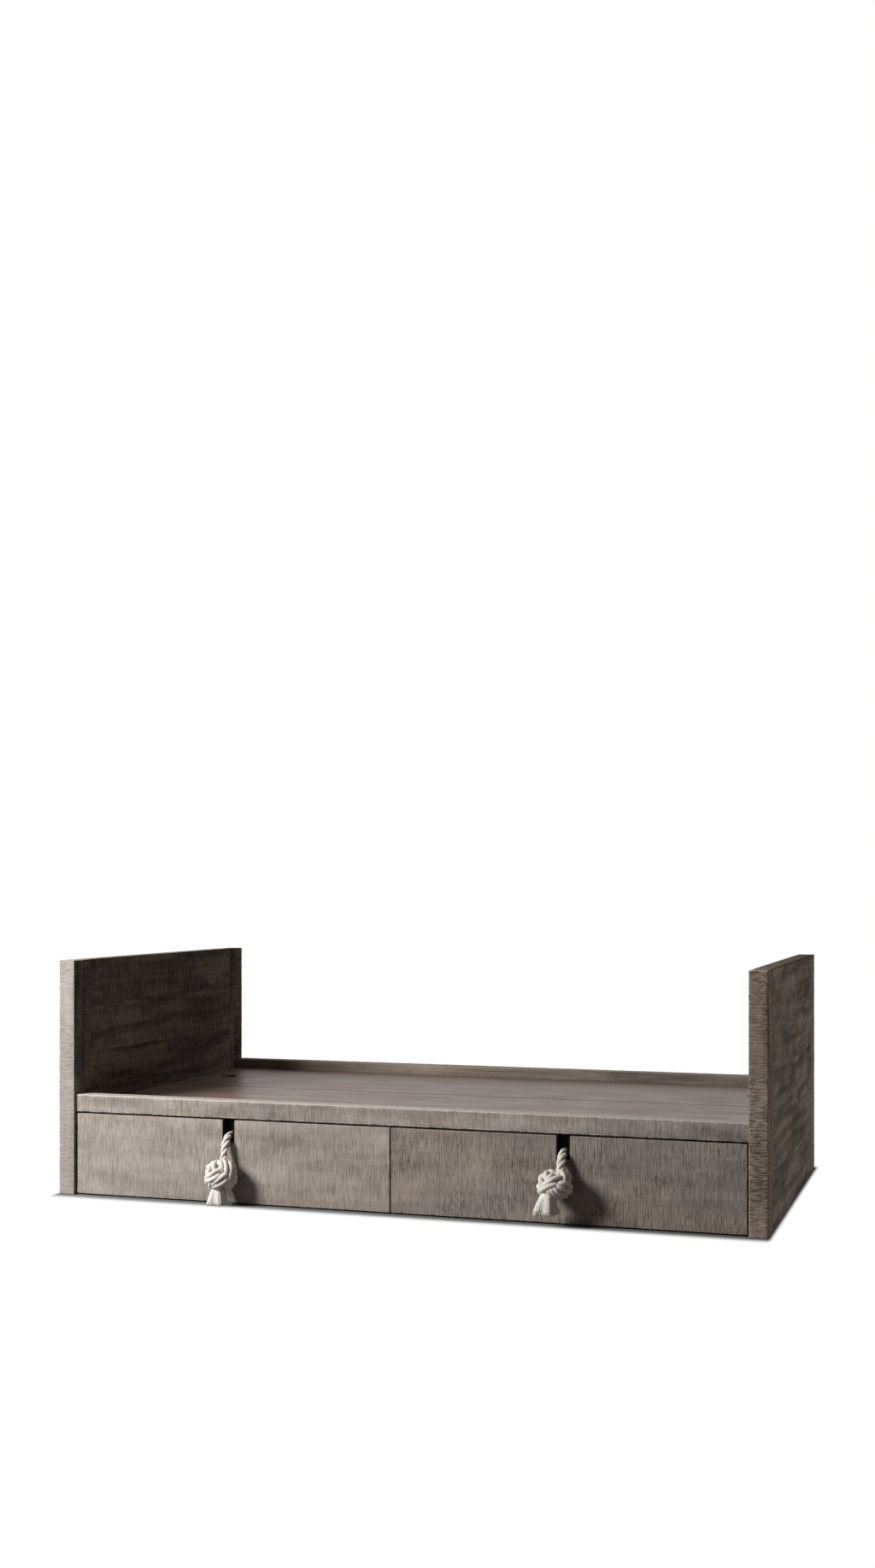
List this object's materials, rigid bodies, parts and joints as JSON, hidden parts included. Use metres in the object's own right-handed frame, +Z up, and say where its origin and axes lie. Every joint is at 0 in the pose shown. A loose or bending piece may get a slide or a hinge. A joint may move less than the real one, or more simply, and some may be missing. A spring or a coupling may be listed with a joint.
{
  "type": "storage bed",
  "caption": "Daybed frame with plank ends, a lift-out platform below low rails, and full-width under-bed drawers opened by knotted rope pulls.",
  "frame": {"origin": "on the floor under the middle of the bed frame, pulls left out", "axes": "+X along the bed to the right-hand end seen from the drawers, +Y from the drawers to the back, +Z up"},
  "size_m": [2.04, 1.237, 0.68],
  "materials": {
    "end_wood": "rough-sawn weathered oak, grey-brown, matt",
    "front_wood": "rough-sawn weathered oak with vertical saw marks, matt",
    "back_wood": "weathered oak with lengthwise grain, matt",
    "platform_wood": "smoothed weathered oak, soft sheen",
    "bearer_wood": "planed softwood, matt",
    "box_wood": "planed birch, oiled",
    "screw_steel": "plain steel",
    "black_steel": "blackened steel, matt",
    "zinc_steel": "zinc plated sheet steel",
    "cotton_rope": "off-white laid cotton rope"
  },
  "bodies": {
    "bed_frame": {"left_front_stile": "end_wood", "left_rear_stile": "end_wood", "left_plank_1": "end_wood", "left_plank_2": "end_wood", "left_plank_3": "end_wood", "left_plank_4": "end_wood", "left_plank_5": "end_wood", "right_front_stile": "end_wood", "right_rear_stile": "end_wood", "right_plank_1": "end_wood", "right_plank_2": "end_wood", "right_plank_3": "end_wood", "right_plank_4": "end_wood", "right_plank_5": "end_wood", "front_rail": "front_wood", "back_rail": "back_wood", "back_board_1": "back_wood", "back_board_2": "back_wood", "front_bearer": "bearer_wood", "rear_bearer": "bearer_wood", "centre_beam": "bearer_wood", "centre_divider": "bearer_wood", "bearer_brackets": "zinc_steel", "bracket_screws": "screw_steel", "left_slide_outers": "zinc_steel", "right_slide_outers": "zinc_steel"},
    "left_drawer": {"left_slide_inners": "zinc_steel", "left_drawer_front": "front_wood", "left_box_front": "box_wood", "left_box_outer_side": "box_wood", "left_box_inner_side": "box_wood", "left_box_back": "box_wood", "left_box_bottom": "box_wood", "left_front_screws": "screw_steel", "left_notch_liner": "black_steel", "left_stopper_knot": "cotton_rope", "left_rope_tail": "cotton_rope"},
    "left_carriers": {"left_slide_middles": "zinc_steel"},
    "left_pull": {"left_pull_rope": "cotton_rope", "left_pull_knot": "cotton_rope", "left_pull_tassel": "cotton_rope"},
    "right_drawer": {"right_slide_inners": "zinc_steel", "right_drawer_front": "front_wood", "right_box_front": "box_wood", "right_box_outer_side": "box_wood", "right_box_inner_side": "box_wood", "right_box_back": "box_wood", "right_box_bottom": "box_wood", "right_front_screws": "screw_steel", "right_notch_liner": "black_steel", "right_stopper_knot": "cotton_rope", "right_rope_tail": "cotton_rope"},
    "right_carriers": {"right_slide_middles": "zinc_steel"},
    "right_pull": {"right_pull_rope": "cotton_rope", "right_pull_knot": "cotton_rope", "right_pull_tassel": "cotton_rope"},
    "front_platform": {"front_deck_panel": "platform_wood"},
    "rear_platform": {"rear_deck_panel": "platform_wood"}
  },
  "joints": [
    {"name": "left_drawer_slide", "type": "slide", "parent": "bed_frame", "child": "left_drawer", "axis": [0, -1, 0], "range_m": [0, 0.65]},
    {"name": "left_carrier_slide", "type": "slide", "parent": "bed_frame", "child": "left_carriers", "axis": [0, -1, 0], "range_m": [0, 0.325]},
    {"name": "left_pull_swing", "type": "hinge", "parent": "left_drawer", "child": "left_pull", "pos_m": [-0.484, -0.58, 0.177], "axis": [-1, 0, 0], "range_deg": [0, 75]},
    {"name": "right_drawer_slide", "type": "slide", "parent": "bed_frame", "child": "right_drawer", "axis": [0, -1, 0], "range_m": [0, 0.65]},
    {"name": "right_carrier_slide", "type": "slide", "parent": "bed_frame", "child": "right_carriers", "axis": [0, -1, 0], "range_m": [0, 0.325]},
    {"name": "right_pull_swing", "type": "hinge", "parent": "right_drawer", "child": "right_pull", "pos_m": [0.484, -0.58, 0.177], "axis": [-1, 0, 0], "range_deg": [0, 75]},
    {"name": "front_platform_lift", "type": "slide", "parent": "bed_frame", "child": "front_platform", "axis": [0, 0, 1], "range_m": [0, 0.5]},
    {"name": "rear_platform_lift", "type": "slide", "parent": "bed_frame", "child": "rear_platform", "axis": [0, 0, 1], "range_m": [0, 0.5]}
  ],
  "couplings": [
    {"joint": "left_carrier_slide", "follows": "left_drawer_slide", "ratio": 0.5},
    {"joint": "right_carrier_slide", "follows": "right_drawer_slide", "ratio": 0.5}
  ]
}
